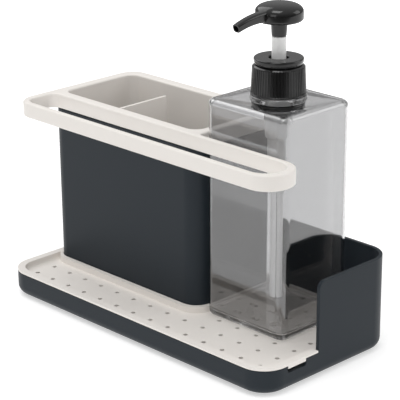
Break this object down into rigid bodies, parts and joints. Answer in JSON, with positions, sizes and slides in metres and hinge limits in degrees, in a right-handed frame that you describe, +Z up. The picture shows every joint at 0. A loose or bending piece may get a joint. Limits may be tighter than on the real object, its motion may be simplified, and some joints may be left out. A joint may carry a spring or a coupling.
{
  "type": "sink organizer",
  "caption": "Sink organizer: base tray with a raised corner wall, perforated drip tray, utensil holder with a divided insert and cloth rail, and a square pump bottle.",
  "frame": {"origin": "on the ground under the centre of the base tray", "axes": "+X along the cloth rail to the raised wall's side, +Y to the back, +Z up"},
  "size_m": [0.225, 0.1084, 0.2044],
  "materials": {
    "slate_plastic": "satin dark slate",
    "stone_plastic": "satin light warm grey",
    "smoke_clear_plastic": "clear smoke grey plastic",
    "black_gloss_plastic": "gloss black",
    "white_plastic": "plain white",
    "grey_rubber": "soft dark grey",
    "spring_steel": "bright wire"
  },
  "bodies": {
    "base": {"base_tray": "slate_plastic", "foot_front_left": "grey_rubber", "foot_front_right": "grey_rubber", "foot_back_left": "grey_rubber", "foot_back_right": "grey_rubber"},
    "tray": {"drip_tray": "stone_plastic"},
    "holder": {"utensil_holder": "slate_plastic"},
    "insert": {"holder_insert": "stone_plastic"},
    "soap_bottle": {"bottle": "smoke_clear_plastic", "neck_ring": "black_gloss_plastic"},
    "pump_body": {"lock_collar": "black_gloss_plastic", "housing_gasket": "grey_rubber", "pump_housing": "white_plastic", "dip_tube": "white_plastic", "return_spring": "spring_steel"},
    "closure": {"closure_collar": "black_gloss_plastic"},
    "inlet_valve": {"valve_ball": "spring_steel"},
    "plunger": {"pump_stem": "white_plastic", "pump_piston": "white_plastic"},
    "dispensing_head": {"pump_head": "black_gloss_plastic"}
  },
  "joints": [
    {"name": "tray_lift", "type": "slide", "parent": "base", "child": "tray", "axis": [0, 0, 1], "range_m": [0, 0.05]},
    {"name": "holder_lift", "type": "slide", "parent": "tray", "child": "holder", "axis": [0, 0, 1], "range_m": [0, 0.045]},
    {"name": "insert_lift", "type": "slide", "parent": "holder", "child": "insert", "axis": [0, 0, 1], "range_m": [0, 0.042]},
    {"name": "bottle_lift", "type": "slide", "parent": "tray", "child": "soap_bottle", "axis": [0, 0, 1], "range_m": [0, 0.12]},
    {"name": "pump_lift", "type": "slide", "parent": "soap_bottle", "child": "pump_body", "axis": [0, 0, 1], "range_m": [0, 0.15]},
    {"name": "closure_turn", "type": "hinge", "parent": "pump_body", "child": "closure", "pos_m": [0.0553, 0.01585, 0.1515], "axis": [0, 0, 1], "range_deg": [0, 450]},
    {"name": "pump_press", "type": "slide", "parent": "pump_body", "child": "plunger", "axis": [0, 0, -1], "range_m": [0, 0.0195], "stiffness_N_per_m": 250, "springref_m": -0.008, "deforming": ["return_spring"]},
    {"name": "head_turn", "type": "hinge", "parent": "plunger", "child": "dispensing_head", "pos_m": [0.0553, 0.01585, 0.1847], "axis": [0, 0, 1], "continuous": true},
    {"name": "valve_lift", "type": "slide", "parent": "pump_body", "child": "inlet_valve", "axis": [0, 0, 1], "range_m": [0, 0.0008]}
  ]
}
